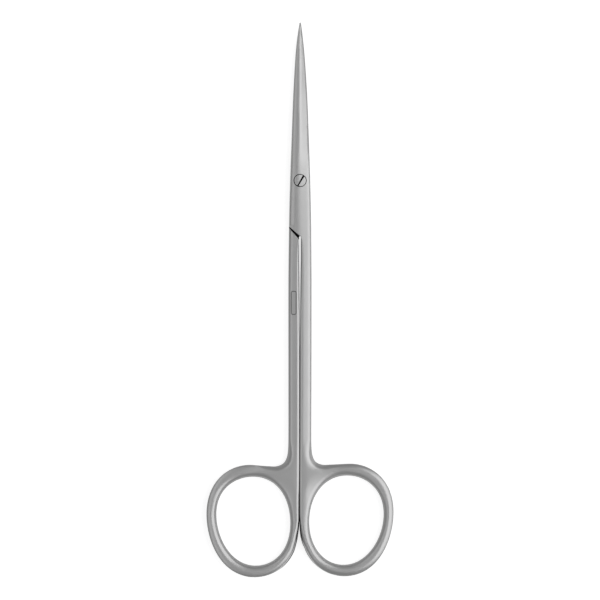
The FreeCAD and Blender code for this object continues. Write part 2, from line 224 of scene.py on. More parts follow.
# Curve through knots, with tangents from their neighbours
def smoothPath(knots, steps=24):
    knots = np.asarray(knots, float)
    around = np.vstack([2 * knots[0] - knots[1], knots, 2 * knots[-1] - knots[-2]])
    t = np.linspace(0, 1, steps, endpoint=False)[:, None]
    path = []
    for a, b, c, d in zip(around, around[1:], around[2:], around[3:]):
        path.append(0.5 * (2 * b + (c - a) * t + (2 * a - 5 * b + 4 * c - d) * t**2
                           + (3 * b - 3 * c + d - a) * t**3))
    path.append(knots[-1:])
    return np.vstack(path)


# Closed outline anticlockwise from the tip: names the group of each stretch and gives its
# points with width, drop and bend of the crown, width of the edge and of the groove, the two
# slopes of the edge and how far it is ground as two facets
def planOutline(shape):
    stretches = []
    tipY, fineY = shape["tipY"], shape["fineY"]
    webTop = shape["web"][0][1]

    # points are closer together towards the tip
    def alongY(low, side):
        high = tipY - 0.15
        y = np.append(np.linspace(low, fineY, int((fineY - low) / 0.5)),
                      np.linspace(fineY, high, int((high - fineY) / 0.2))[1:])
        x = spread(shape["halfWidth"], y)
        if side > 0:
            x = x - spread(shape["spineShow"], y)
        return np.stack([side * x, y], axis=-1)

    def add(group, points, width, drop, bend, edge, slopes, groove=0.0, facet=0.0):
        fill = [np.broadcast_to(np.asarray(value, float), (len(points),))
                for value in (width, drop, bend, edge, groove, *slopes, facet)]
        stretches.append((group, points, np.stack(fill, axis=-1)))

    spine = alongY(shape["plateLeftEnd"], -1)[::-1]
    y = spine[:, 1]
    add("spine", spine, spread(shape["spineWidth"], y), spread(shape["spineDrop"], y),
        shape["spineBend"], spread(shape["spineEdge"], y), shape["spineSlopes"])
    y = np.arange(shape["innerEnd"], shape["parting"][0][1], -0.5)
    line = np.stack([spread(shape["innerLine"], y), y], axis=-1)
    slant = resample([spine[-1], line[0]], 0.35)
    add("inner", slant, 1, 0, 1, shape["plateEndEdge"], shape["innerSlopes"])
    add("inner", line, shape["innerCrownWidth"],
        shape["ringCrownDrop"] * spread(shape["innerCrownShare"], y), shape["ringCrownBend"],
        spread(shape["innerEdge"], y), shape["innerSlopes"], spread(shape["groove"], y))
    ring = shape["ring"]
    curve = eggPoint(ring, np.linspace(ring["from"], ring["to"], 361))
    parting = np.vstack([shape["parting"], curve[0]])
    curve = resample(np.vstack([smoothPath(parting)[:-1], curve]), 0.45)
    y = curve[:, 1]
    angle = np.degrees(np.arctan2(curve[:, 0] - ring["x"], y - ring["y"]))
    wall = shape["ringCrownWidth"] + shape["ringCrownVaries"] * (np.sin(np.radians(angle)) - 1)
    near = (y < ring["y"]) & (curve[:, 0] < ring["x"])
    share = np.where(near, spread(shape["nearCrownShare"], y), 1.0)
    edge = np.where(near, spread(shape["nearEdge"], y), shape["ringEdge"])
    groove = np.where(near, spread(shape["groove"], y), 0.0)
    toNear = spread(shape["nearShare"], y)
    toRing = np.where(near, spread(shape["ringShare"], angle % 360), 1.0)
    slopes = [a + (b - a) * toNear for a, b in zip(shape["innerSlopes"], shape["nearSlopes"])]
    slopes = [a + (b - a) * toRing for a, b in zip(slopes, shape["ringSlopes"])]
    add("ring", curve, wall, shape["ringCrownDrop"] * share, shape["ringCrownBend"], edge, slopes,
        groove)
    web = np.vstack([curve[-1], shape["web"][::-1]])
    web = resample(smoothPath(web)[1:], 0.4)
    share = np.linspace(0, 1, len(web))
    # along the web the crown of the ring turns into that of the shank
    ringFacts = (wall[-1], shape["ringCrownDrop"], shape["ringCrownBend"], shape["ringEdge"])
    shankTables = ("outerWidth", "outerDrop", "outerBend", "outerEdge")
    width, drop, bend, edge = [spread([(0, a), (1, spread(shape[b], webTop))], share)
                               for a, b in zip(ringFacts, shankTables)]
    slopes = [spread([(0, a), (0.3, b), (1, b)], share)
              for a, b in zip(shape["ringSlopes"], shape["outerSlopes"])]
    add("outer", web, width, drop, bend, edge + spread(shape["webFacet"], share), slopes,
        facet=spread([(0, 0.0), (0.3, 1.0), (1, 1.0)], share))
    side = alongY(webTop, 1)
    y = side[:, 1]
    add("outer", side, spread(shape["outerWidth"], y), spread(shape["outerDrop"], y),
        spread(shape["outerBend"], y), spread(shape["outerEdge"], y), shape["outerSlopes"],
        facet=1.0)
    # the point itself is 0.1 mm wide
    tip = np.array([[0.04, tipY - 0.02], [-0.06, tipY - 0.01]])
    add("outer", tip, 0.14, 0.17, 0.3, 0.0, shape["outerSlopes"])
    return stretches


# One loop without double points, with the facts and the group of each point
def joinStretches(stretches):
    points, facts, groups = [], [], []
    for group, path, values in stretches:
        for point, value in zip(path, values):
            if points and np.linalg.norm(point - points[-1]) < 0.02:
                continue
            points.append(point)
            facts.append(value)
            groups.append(group)
    return np.array(points), np.array(facts), groups


# Distance from each point to a path, and the facts of the path at that place
def nearest(points, path, facts, closed):
    start, end = path[:-1], path[1:]
    first, second = facts[:-1], facts[1:]
    if closed:
        start, end = path, np.roll(path, -1, axis=0)
        first, second = facts, np.roll(facts, -1, axis=0)
    along = end - start
    length2 = np.maximum((along**2).sum(1), 1e-12)
    distance = np.empty(len(points))
    found = np.empty((len(points), facts.shape[1]))
    for low in range(0, len(points), 2000):
        part = points[low:low + 2000]
        t = ((part[:, None, 0] - start[:, 0]) * along[:, 0]
             + (part[:, None, 1] - start[:, 1]) * along[:, 1]) / length2
        t = np.clip(t, 0, 1)
        dx = part[:, None, 0] - start[:, 0] - t * along[:, 0]
        dy = part[:, None, 1] - start[:, 1] - t * along[:, 1]
        gap = dx * dx + dy * dy
        i = gap.argmin(1)
        rows = np.arange(len(part))
        distance[low:low + 2000] = np.sqrt(gap[rows, i])
        share = t[rows, i][:, None]
        found[low:low + 2000] = first[i] * (1 - share) + second[i] * share
    return distance, found


def distanceTo(path, points):
    return nearest(points, path, np.zeros((len(path), 1)), False)[0]


# Whether each point is inside a closed loop
def inside(points, loop):
    x0, y0 = loop[:, 0], loop[:, 1]
    x1, y1 = np.roll(x0, -1), np.roll(y0, -1)
    result = np.zeros(len(points), bool)
    for low in range(0, len(points), 4000):
        x, y = points[low:low + 4000, 0, None], points[low:low + 4000, 1, None]
        crosses = (y0 > y) != (y1 > y)
        rise = np.where(y1 == y0, 1e-12, y1 - y0)
        cut = x0 + (y - y0) / rise * (x1 - x0)
        result[low:low + 4000] = (crosses & (x < cut)).sum(1) % 2 == 1
    return result


# Depth below the face at a distance from a bevelled edge, whose slope grows from lip where
# it starts to steep at the wall, mostly near the wall
def bevelDrop(distance, width, lip, steep):
    width = np.maximum(width, 1e-6)
    u = np.clip(1 - distance / width, 0, 1)
    return width * (lip * u + (steep - lip) * u**3 / 3)


# The same for a bevel ground in two facets, of the slopes lip and steep; the first turns into
# the second between these shares of its width
facetTurn = (0.42, 0.62)


def facetDrop(distance, width, lip, steep):
    start, end = facetTurn
    width = np.maximum(width, 1e-6)
    u = np.clip(1 - distance / width, 0, 1)
    ramp = np.clip(u - start, 0, end - start)
    second = ramp * ramp / (2 * (end - start)) + np.maximum(u - end, 0)
    return width * (lip * u + (steep - lip) * second)


# Depth below the crest of a face that falls away towards its edge; a small bend gives a
# flat facet, a large one an even curve
def crownDrop(distance, width, drop, bend):
    u = np.clip(1 - distance / np.maximum(width, 1e-6), 0, 1)
    return drop * (np.sqrt(u * u + bend * bend) - bend) / (np.sqrt(1 + bend * bend) - bend)


def circle(radius, count):
    turn = np.linspace(0, 2 * np.pi, count, endpoint=False)
    return np.stack([radius * np.cos(turn), radius * np.sin(turn)], axis=-1)


# Outline, hole, shoulder and what the face does beside each of them
def makePlan(shape):
    loop, facts, groups = joinStretches(planOutline(shape))
    turn = np.linspace(0, 360, 200, endpoint=False)
    hole = eggPoint(shape["hole"], turn)
    crown = [spread([(row[0], row[i]) for row in shape["holeCrown"]], turn) for i in (1, 2)]
    bevel, lip = spread(shape["holeBevel"], turn), spread(shape["holeLip"], turn)
    holeFacts = np.stack([bevel, *crown, lip], axis=-1)
    shoulder = resample(shape["shoulderLine"], 0.35)
    shoulder[0, 0] = spread(shape["halfWidth"], shoulder[0, 1])
    for end in (0, -1):
        loop[np.linalg.norm(loop - shoulder[end], axis=1).argmin()] = shoulder[end]
    # each group also takes the first point of the next, so that no gap is left between them
    paths = {}
    for name in ("spine", "inner", "ring", "outer"):
        picked = [i for i, group in enumerate(groups) if group == name]
        picked.append((picked[-1] + 1) % len(loop))
        paths[name] = (loop[picked], facts[picked])
    return {"loop": loop, "facts": facts, "groups": groups, "hole": hole, "holeFacts": holeFacts,
            "shoulder": shoulder, "paths": paths}


# Height of the outer face above the mid-plane at plan points
def faceHeight(shape, plan, points, shoulderEdge=False):
    crown = np.zeros(len(points))
    rounding = np.zeros(len(points))
    for path, facts in plan["paths"].values():
        distance, found = nearest(points, path, facts, False)
        crown = np.maximum(crown, crownDrop(distance, found[:, 0], found[:, 1], found[:, 2]))
        groove = found[:, 4]
        edge = (np.maximum(distance - groove, 0), found[:, 3], found[:, 5], found[:, 6])
        facet = found[:, 7]
        drop = (1 - facet) * bevelDrop(*edge) + facet * facetDrop(*edge)
        share = np.clip(1 - distance / np.maximum(groove, 1e-6), 0, 1)
        drop = drop + shape["grooveDepth"] * (1 - np.exp(-groove / 0.15)) * share
        rounding = np.maximum(rounding, drop)
    height = spread(shape["crest"], points[:, 1]) - crown - rounding
    distance, found = nearest(points, plan["hole"], plan["holeFacts"], True)
    beyond = np.maximum(distance - found[:, 0], 0)
    height = height - crownDrop(beyond, found[:, 1], found[:, 2], 0.8)
    height = height - facetDrop(distance, found[:, 0], found[:, 3], shape["holeSteep"])
    out = np.clip(points[:, 0] - shape["thinsFrom"], 0, shape["thinsOver"])
    thins = shape["ringThins"] * spread(shape["thinsShare"], points[:, 1])
    height = height - thins * out * (1 - out / (2 * shape["thinsOver"]))
    if shoulderEdge:
        height = height - bevelDrop(distanceTo(plan["shoulder"], points),
                                    np.full(len(points), shape["plateEndEdge"]),
                                    *shape["spineSlopes"])
    return height


# Points on the left of a loop, beyond a first strip, at shares of a width; narrow widths get
# only the middle and the last of them
def offsetRows(loop, widths, closed, rows, first=0.0):
    ahead = np.roll(loop, -1, axis=0)
    behind = np.roll(loop, 1, axis=0)
    if not closed:
        ahead[-1], behind[0] = loop[-1], loop[0]
    tangent = ahead - behind
    tangent /= np.linalg.norm(tangent, axis=1)[:, None]
    normal = np.stack([-tangent[:, 1], tangent[:, 0]], axis=-1)
    result = []
    for row in rows:
        depth = first + widths * row
        keep = (depth > 0.012) & (widths * row > 0.01) & ((widths > 0.2) | (row in (0.5, 1.0)))
        result.append((loop[keep] + normal[keep] * depth[keep, None], depth[keep]))
    return result


# Edges round a closed loop of count points, numbered from first
def link(count, first):
    return [(first + i, first + (i + 1) % count) for i in range(count)]


# Sides of the round holes, and step of the net in millimetres
roundSides = 64
netStep = 0.5


# Fine triangle net over the plan, with points in rows beside every edge
def triangulate(shape, plan, rounds):
    loop, hole, shoulder = plan["loop"], plan["hole"], plan["shoulder"]
    edge, groove = plan["facts"][:, 3], plan["facts"][:, 4]
    bevel = plan["holeFacts"][:, 0]
    arc = np.array([0.15, 0.32, 0.5, 0.7, 0.88, 1.0])
    candidates = offsetRows(loop, groove, True, [0.5, 1.0])
    candidates += offsetRows(loop, edge, True, arc, groove)
    candidates += offsetRows(loop, edge + groove + 0.35, True, [1.0])
    candidates += offsetRows(hole, bevel, True, arc)
    candidates += offsetRows(hole, bevel + 0.4, True, [1.0])
    small = np.full(len(shoulder), shape["plateEndEdge"])
    for side in (shoulder, shoulder[::-1]):
        candidates += offsetRows(side, small, False, [0.3, 1.0, 4.0])
    # rows along the blade and the joint plate, at shares of their width
    fineY = shape["fineY"]
    for y in np.append(np.arange(-17.0, fineY, 0.6),
                       np.arange(fineY + 0.2, shape["tipY"] - 0.3, 0.3)):
        width, show, spineEdge, outerEdge = [
            spread(shape[key], np.array([y]))[0]
            for key in ("halfWidth", "spineShow", "spineEdge", "outerEdge")]
        left, right = spineEdge - width, width - show - outerEdge
        count = max(4, int(round((right - left) / 0.4)))
        x = np.linspace(left, right, count + 1)[1:-1]
        candidates.append((np.stack([x, np.full(len(x), y)], axis=-1), np.full(len(x), 0.04)))
    # the rest is filled evenly, in rows of equal triangles
    rows = []
    for number, y in enumerate(np.arange(-114.5, -17.3, netStep * 0.866)):
        x = np.arange(0.2, 27.5, netStep) + (number % 2) * netStep / 2
        rows.append(np.stack([x, np.full(len(x), y)], axis=-1))
    grid = np.vstack(rows)
    candidates.append((grid, np.zeros(len(grid))))
    kept = [loop, hole, shoulder[1:-1]] + [circle(radius, roundSides) for radius in rounds]
    for number, (points, depth) in enumerate(candidates):
        toLoop, near = nearest(points, loop, (edge + groove)[:, None], True)
        toHole, wide = nearest(points, hole, bevel[:, None], True)
        toShoulder = distanceTo(shoulder, points)
        fine = inside(points, loop) & ~inside(points, hole)
        if number == len(candidates) - 1:
            fine &= (toLoop > near[:, 0] + 0.55) & (toHole > wide[:, 0] + 0.65)
            fine &= toShoulder > 0.5
        else:
            # a point that lies nearer to another edge than to its own is left out
            fine &= np.minimum(toLoop, toHole) > depth * 0.97 - 1e-6
            fine &= toShoulder > 0.02
        if rounds:
            fine &= np.linalg.norm(points, axis=1) > max(rounds) + 0.12
        kept.append(points[fine])
    points = np.vstack(kept)
    edges = link(len(loop), 0) + link(len(hole), len(loop))
    first = len(loop) + len(hole)
    between = list(range(first, first + len(shoulder) - 2))
    ends = [int(np.linalg.norm(loop - shoulder[i], axis=1).argmin()) for i in (0, -1)]
    chain = [ends[0]] + between + [ends[1]]
    edges += list(zip(chain, chain[1:]))
    first += len(between)
    circles = []
    for _ in rounds:
        edges += link(roundSides, first)
        circles.append(list(range(first, first + roundSides)))
        first += roundSides
    found = delaunay_2d_cdt([Vector(p) for p in points], edges, [], 1, 1e-7)
    triangles, origin = found[2], found[3]
    # points go back to their own numbers; one that has none comes from edges that cross
    back = [list(o)[0] if len(o) else -1 for o in origin]
    if -1 in back:
        raise RuntimeError("the plan of a half crosses itself")
    triangles = np.array([[back[i] for i in t] for t in triangles])
    middle = points[triangles].mean(axis=1)
    triangles = triangles[inside(middle, loop) & ~inside(middle, hole)]
    return points, triangles, chain, circles


# Faces that meet more steeply than this many degrees get a sharp edge
sharpAngle = 35


def markSharp(mesh):
    mesh.polygons.foreach_set("use_smooth", [True] * len(mesh.polygons))
    corners = {}
    for polygon in mesh.polygons:
        for key in polygon.edge_keys:
            corners.setdefault(key, []).append(polygon.normal)
    limit = math.cos(math.radians(sharpAngle))
    for edge in mesh.edges:
        sides = corners[edge.key]
        edge.use_edge_sharp = len(sides) == 2 and sides[0].dot(sides[1]) < limit


# The recess value of a face is 1 deep in slots and gaps and 0 on open faces; the satin steel is
# painted dark as shade where it is 1 and closed in
def setRecess(mesh, values):
    mesh.attributes.new("recess", "FLOAT", "FACE").data.foreach_set("value", values)


# Object from points in millimetres, without the points that no face uses
def meshObject(name, vertices, faces):
    used = sorted({i for face in faces for i in face})
    number = {old: new for new, old in enumerate(used)}
    mesh = bpy.data.meshes.new(name)
    mesh.from_pydata([tuple(vertices[i] * millimetre) for i in used], [],
                     [[number[i] for i in face] for face in faces])
    mesh.update()
    markSharp(mesh)
    return addObject(name, mesh)


# Closed mesh of one half: outer face, flat inner face, underside of shank and ring, walls
def buildHalf(name, shape, plan, screwRadius, seatRadius=None, seatHeight=0.0, turned=False):
    rounds = [r for r in (seatRadius, screwRadius) if r]
    points, triangles, chain, circles = triangulate(shape, plan, rounds)
    count = len(points)
    loopCount, holeCount = len(plan["loop"]), len(plan["hole"])
    middle = points[triangles].mean(axis=1)
    away = np.linalg.norm(middle, axis=1)
    top = faceHeight(shape, plan, points)
    under = -faceHeight(shape, plan, points, shoulderEdge=True)
    # the handle side of the shoulder has its full thickness
    a, b = np.array(shape["shoulderLine"])
    handle = ((b[0] - a[0]) * (middle[:, 1] - a[1]) - (b[1] - a[1]) * (middle[:, 0] - a[0])) > 0
    handle &= middle[:, 0] > 0
    # four layers of points: outer face, screw seat, inner face, underside
    flat = np.full(count, shape["innerFace"])
    layers = [top, np.full(count, seatHeight), flat, under]
    vertices = np.vstack([np.column_stack([points, z]) for z in layers])
    outerFace, seat, innerFace, underside = 0, count, 2 * count, 3 * count
    faces, recess = [], []
    hollow = away < screwRadius
    seated = (away < seatRadius) & ~hollow if seatRadius else np.zeros(len(away), bool)
    # the groove by the middle line, the seat and the inner face near the shoulder are recesses,
    # painted dark as shade by the material
    inGroove = np.zeros(len(middle))
    closeBy = spread(shape["recessShare"], middle[:, 0])
    for path, facts in plan["paths"].values():
        distance, found = nearest(middle, path, facts, False)
        inGroove = np.maximum(inGroove, (distance < found[:, 4]) * closeBy)
    corner = distanceTo(plan["shoulder"], middle) < 1.0
    rows = zip(triangles, handle, hollow, seated, inGroove, corner)
    for triangle, isHandle, isHollow, isSeat, isGroove, isCorner in rows:
        if isHollow:
            continue
        i, j, k = (int(v) for v in triangle)
        upper = seat if isSeat else outerFace
        lower = underside if isHandle else innerFace
        faces.append((i + upper, j + upper, k + upper))
        recess.append(max(isSeat, isGroove))
        faces.append((k + lower, j + lower, i + lower))
        recess.append(max(isGroove, isCorner and not isHandle))

    def wall(i, j, upper, lower, split=(), deep=1.0):
        face = [i + upper]
        if i in split:
            face.append(i + innerFace)
        face += [i + lower, j + lower]
        if j in split:
            face.append(j + innerFace)
        faces.append(face + [j + upper])
        recess.append(deep)

    ends = (chain[0], chain[-1])
    low, high = sorted(ends)
    for i in range(loopCount):
        j = (i + 1) % loopCount
        onHandle = low <= i < high
        # walls along the middle line and in the groove are recesses, painted dark as shade by the
        # material
        deep = plan["groups"][i] == "inner" or plan["facts"][i][4] > 0
        closed = float(spread(shape["recessShare"], plan["loop"][i, 0]))
        wall(i, j, outerFace, underside if onHandle else innerFace, ends if onHandle else (),
             deep * closed)
    for i in range(holeCount):
        j = (i + 1) % holeCount
        wall(loopCount + i, loopCount + j, outerFace, underside, deep=0.0)
    for i, j in zip(chain, chain[1:]):
        wall(i, j, innerFace, underside)
    for ring, radius in zip(circles, rounds):
        for i in range(len(ring)):
            j = (i + 1) % len(ring)
            if seatRadius and radius == seatRadius:
                wall(ring[j], ring[i], outerFace, seat)
            else:
                wall(ring[j], ring[i], seat if seatRadius else outerFace, innerFace)
    # the lower half is the same shape turned over
    if turned:
        vertices = vertices * (-1, 1, -1)
    vertices = vertices + (0, 0, shape["halfThickness"])
    result = meshObject(name, vertices, faces)
    setRecess(result.data, recess)
    return result


# The slotted joint screw. Its head is ground flush with the joint plate.
screw = {
    "headRadius": 1.69,
    "seatRadius": 1.88,
    # seat above the mid-plane
    "seatHeight": 0.97,
    "headHeight": 0.8,
    "rimBevel": 0.04,
    "slotWidth": 0.46,
    "slotFlare": 0.13,
    "slotOffset": 0.2,
    "slotDepth": 0.62,
    "slotAngle": 60.0,
    "plainRadius": 1.15,
    "threadRadius": 0.95,
    "endBevel": 0.06,
    # holes for the plain part and for the thread
    "plainHole": 1.19,
    "threadHole": 0.96,
    "sides": 96,
}


def buildScrew(name, shape, plan, size):
    head, rimBevel, sides = size["headRadius"], size["rimBevel"], size["sides"]
    rim = head - rimBevel
    ringPoints, heights = [], []
    # the ground face of the head is as high as the face of the half round it
    for radius in np.append(np.linspace(0.12, rim, 9), [head - 0.4 * rimBevel, head]):
        around = circle(radius, sides)
        lower = rimBevel * max(0.0, (radius - rim) / rimBevel) ** 2
        ringPoints.append(around)
        heights.append(faceHeight(shape, plan, around) - lower + shape["halfThickness"])
    top = 2 * shape["halfThickness"]
    under = top - size["headHeight"]
    plainEnd = shape["halfThickness"] - shape["innerFace"]
    plain, thread, endBevel = size["plainRadius"], size["threadRadius"], size["endBevel"]
    for radius, z in ((head, under), (plain, under), (plain, plainEnd), (thread, plainEnd),
                      (thread, endBevel), (thread - endBevel, 0.0)):
        ringPoints.append(circle(radius, sides))
        heights.append(np.full(sides, z))
    vertices = [np.column_stack([p, z]) for p, z in zip(ringPoints, heights)]
    vertices = np.vstack(vertices + [[[0, 0, heights[0].mean()]], [[0, 0, 0]]])
    faces = []
    for ring in range(len(ringPoints) - 1):
        for i in range(sides):
            j = (i + 1) % sides
            a, b = ring * sides, (ring + 1) * sides
            faces.append((a + i, b + i, b + j, a + j))
    last = (len(ringPoints) - 1) * sides
    centre = len(vertices) - 2
    for i in range(sides):
        j = (i + 1) % sides
        faces.append((centre, i, j))
        faces.append((centre + 1, last + j, last + i))
    body = meshObject(name + "_turned", vertices, faces)
    # the slot is a box taken out across the head
    halfWide = size["slotWidth"] / 2
    low, high = top - size["slotDepth"], top + 1.0
    angle = math.radians(size["slotAngle"])
    corners = []
    for z in (low, high):
        for u, v in ((-1, -1), (1, -1), (1, 1), (-1, 1)):
            x = 1.2 * u * head
            y = v * (halfWide + 0.6 * u * size["slotFlare"]) - size["slotOffset"]
            corners.append((x * math.cos(angle) - y * math.sin(angle),
                            x * math.sin(angle) + y * math.cos(angle), z))
    box = meshObject(name + "_slot", np.array(corners),
                     [(3, 2, 1, 0), (4, 5, 6, 7), (0, 1, 5, 4), (1, 2, 6, 5), (2, 3, 7, 6),
                      (3, 0, 4, 7)])
    cut = body.modifiers.new("slot", "BOOLEAN")
    cut.operation, cut.solver, cut.object = "DIFFERENCE", "EXACT", box
    graph = bpy.context.evaluated_depsgraph_get()
    mesh = bpy.data.meshes.new_from_object(body.evaluated_get(graph))
    for spare in (body, box):
        bpy.data.objects.remove(spare)
    mesh.name = name
    markSharp(mesh)
    # all but the ground face of the head lies in a recess, which the material paints dark as shade
    setRecess(mesh, [p.normal.z < 0.5 or p.center.z < (top - size["slotDepth"] / 2) * millimetre
                     for p in mesh.polygons])
    return addObject(name, mesh)


upperPlan = makePlan(upperHalf)
lowerPlan = makePlan(lowerHalf)
print("plans", len(upperPlan["loop"]), len(lowerPlan["loop"]), "points round each")
upper = buildHalf("upper_half_steel", upperHalf, upperPlan, screw["plainHole"],
                  screw["seatRadius"], screw["seatHeight"])
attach(upper, "upper_body")
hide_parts("upper_half")
lower = buildHalf("lower_half_steel", lowerHalf, lowerPlan, screw["threadHole"], turned=True)
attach(lower, "lower_body")
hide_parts("lower_half")
screwPiece = buildScrew("slotted_screw", upperHalf, upperPlan, screw)
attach(screwPiece, "lower_body")
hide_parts("joint_screw")
print("halves and screw", [len(piece.data.polygons) for piece in (upper, lower, screwPiece)])

# A fine line etched on the left shank, round a long field with rounded corners
mark = {
    "centre": (-1.76, -35.3),
    "width": 1.38,
    "length": 6.66,
    "corner": 0.45,
    "line": 0.26,
    "lift": 0.008,
}


# Geometry Nodes draw the line along its path and lay it on the surface below
def markTree(material):
    tree = bpy.data.node_groups.new("etched_line", "GeometryNodeTree")
    tree.interface.new_socket("Geometry", in_out="OUTPUT", socket_type="NodeSocketGeometry")
    for label, kind in (("Surface", "Object"), ("Centre", "Vector"), ("Width", "Float"),
                        ("Length", "Float"), ("Corner", "Float"), ("Line", "Float"),
                        ("Lift", "Float")):
        tree.interface.new_socket(label, in_out="INPUT", socket_type="NodeSocket" + kind)
    given = addNode(tree, "NodeGroupInput").outputs
    path = addNode(tree, "GeometryNodeCurvePrimitiveQuadrilateral", Width=given["Width"],
                   Height=given["Length"])
    corners = addNode(tree, "GeometryNodeFilletCurve", {"mode": "POLY", "Count": 7},
                      Curve=path.outputs["Curve"], Radius=given["Corner"])
    steps = addNode(tree, "GeometryNodeResampleCurve",
                    {"mode": "LENGTH", "Length": 0.15 * millimetre},
                    Curve=corners.outputs["Curve"])
    upright = addNode(tree, "GeometryNodeSetCurveNormal", {"mode": "Z_UP"},
                      Curve=steps.outputs["Curve"])
    section = addNode(tree, "GeometryNodeCurvePrimitiveQuadrilateral", Width=given["Line"],
                      Height=given["Lift"])
    sweep = addNode(tree, "GeometryNodeCurveToMesh", Curve=upright.outputs["Curve"],
                    Profile_Curve=section.outputs["Curve"])
    move = addNode(tree, "GeometryNodeTransform", Geometry=sweep.outputs["Mesh"],
                   Translation=given["Centre"])
    # each point goes to the surface straight below it, and keeps its own height above that
    place = addNode(tree, "GeometryNodeInputPosition")
    parts = addNode(tree, "ShaderNodeSeparateXYZ", Vector=place.outputs["Position"]).outputs
    above = addNode(tree, "ShaderNodeCombineXYZ", {"Z": 20 * millimetre}, X=parts["X"],
                    Y=parts["Y"])
    surface = addNode(tree, "GeometryNodeObjectInfo", Object=given["Surface"])
    drop = addNode(tree, "GeometryNodeRaycast",
                   {"Ray Direction": (0, 0, -1), "Ray Length": 100 * millimetre},
                   Target_Geometry=surface.outputs["Geometry"],
                   Source_Position=above.outputs["Vector"])
    found = addNode(tree, "ShaderNodeSeparateXYZ", Vector=drop.outputs["Hit Position"])
    height = addNode(tree, "ShaderNodeMath", {"operation": "ADD"})
    tree.links.new(found.outputs["Z"], height.inputs[0])
    tree.links.new(parts["Z"], height.inputs[1])
    target = addNode(tree, "ShaderNodeCombineXYZ", X=parts["X"], Y=parts["Y"],
                     Z=height.outputs["Value"])
    lay = addNode(tree, "GeometryNodeSetPosition", Geometry=move.outputs["Geometry"],
                  Position=target.outputs["Vector"])
    real = addNode(tree, "GeometryNodeRealizeInstances", Geometry=lay.outputs["Geometry"])
    coat = addNode(tree, "GeometryNodeSetMaterial", {"Material": material},
                   Geometry=real.outputs["Geometry"])
    addNode(tree, "NodeGroupOutput", Geometry=coat.outputs["Geometry"])
    return tree


def buildMark(name, surface, size, material):
    tree = markTree(material)
    piece = addObject(name, bpy.data.meshes.new(name))
    modifier = piece.modifiers.new("etched line", "NODES")
    modifier.node_group = tree
    x, y = size["centre"]
    values = {"Surface": surface, "Centre": (x * millimetre, y * millimetre, 0.0)}
    values.update({label.capitalize(): size[label] * millimetre
                   for label in ("width", "length", "corner", "line", "lift")})
    for socket in tree.interface.items_tree:
        if socket.in_out == "INPUT":
            modifier[socket.identifier] = values[socket.name]
    graph = bpy.context.evaluated_depsgraph_get()
    mesh = bpy.data.meshes.new_from_object(piece.evaluated_get(graph))
    piece.modifiers.clear()
    mesh.name = name
    piece.data = mesh
    return piece


# Linear colour of an sRGB hex code
def linearColour(code):
    parts = [int(code[i:i + 2], 16) / 255 for i in (1, 3, 5)]
    linear = [p / 12.92 if p <= 0.04045 else ((p + 0.055) / 1.055) ** 2.4 for p in parts]
    return (*linear, 1.0)


def startMetal(name):
    material = bpy.data.materials.new(name)
    material.use_nodes = True
    shader = material.node_tree.nodes["Principled BSDF"]
    shader.inputs["Metallic"].default_value = 1.0
    return material, material.node_tree, shader


# Mixes two colours by a value, into the shader; inputs 6 and 7 of the node are its colours
def mixColours(tree, shader, share, first, second):
    mix = addNode(tree, "ShaderNodeMix", {"data_type": "RGBA"})
    tree.links.new(share, mix.inputs[0])
    mix.inputs[6].default_value = linearColour(first)
    mix.inputs[7].default_value = linearColour(second)
    tree.links.new(mix.outputs[2], shader.inputs["Base Color"])


# Hardened stainless steel, forged, ground and brought to a satin finish with fine brushing
# wheels. It gives a soft even gloss in neutral grey, streaked a little along the halves. Deep in
# slots and gaps it is painted near black as shade, the more the place is closed in.
satin = {
    "colour": "#b3b3b3",
    # colour of the painted shade deep in recesses
    "paintedShadeColour": "#0b0b0b",
    "roughness": 0.35,
    "glossVaries": 0.025,
    # clouds of gloss, about 6 mm across
    "cloudScale": 160.0,
    # scratches of the brushing, 0.2 mm wide and 1.5 mm long; the real ones are about 0.02 mm
    # wide, too fine to show, so they are drawn ten times as coarse
    "scratchScale": (5000.0, 670.0, 5000.0),
    "scratchStrength": 0.08,
    "scratchDepth": 0.00005,
    # how far a recess sees the wall across it for the painted shade, in metres
    "recessReach": 0.002,
}


def makeSatin(name, look):
    material, tree, shader = startMetal(name)
    place = addNode(tree, "ShaderNodeTexCoord").outputs["Object"]
    cloud = addNode(tree, "ShaderNodeTexNoise", {"Scale": look["cloudScale"], "Detail": 2.0},
                    Vector=place)
    gloss = addNode(tree, "ShaderNodeMapRange",
                    {"From Min": 0.3, "From Max": 0.7,
                     "To Min": look["roughness"] - look["glossVaries"],
                     "To Max": look["roughness"] + look["glossVaries"]}, Value=cloud.outputs[0])
    tree.links.new(gloss.outputs[0], shader.inputs["Roughness"])
    stretch = addNode(tree, "ShaderNodeMapping", {"Scale": look["scratchScale"]}, Vector=place)
    grain = addNode(tree, "ShaderNodeTexNoise", {"Scale": 1.0, "Detail": 3.0},
                    Vector=stretch.outputs[0])
    bump = addNode(tree, "ShaderNodeBump",
                   {"Strength": look["scratchStrength"], "Distance": look["scratchDepth"]},
                   Height=grain.outputs[0])
    tree.links.new(bump.outputs[0], shader.inputs["Normal"])
    # painted shade: a face with a recess value is painted darker the more it is closed in, where
    # shade would fall
    openness = addNode(tree, "ShaderNodeAmbientOcclusion",
                       {"Distance": look["recessReach"], "samples": 16})
    lit = addNode(tree, "ShaderNodeMapRange",
                  {"From Min": 0.6, "From Max": 1.0, "To Min": 0.0, "To Max": 1.0,
                   "interpolation_type": "SMOOTHSTEP"}, Value=openness.outputs["AO"])
    recess = addNode(tree, "ShaderNodeAttribute", {"attribute_name": "recess"})
    unmasked = addNode(tree, "ShaderNodeMath", {"operation": "SUBTRACT"})
    unmasked.inputs[0].default_value = 1.0
    tree.links.new(recess.outputs["Fac"], unmasked.inputs[1])
    unshaded = addNode(tree, "ShaderNodeMath", {"operation": "MAXIMUM"})
    tree.links.new(unmasked.outputs[0], unshaded.inputs[0])
    tree.links.new(lit.outputs[0], unshaded.inputs[1])
    mixColours(tree, shader, unshaded.outputs[0], look["paintedShadeColour"], look["colour"])
    return material


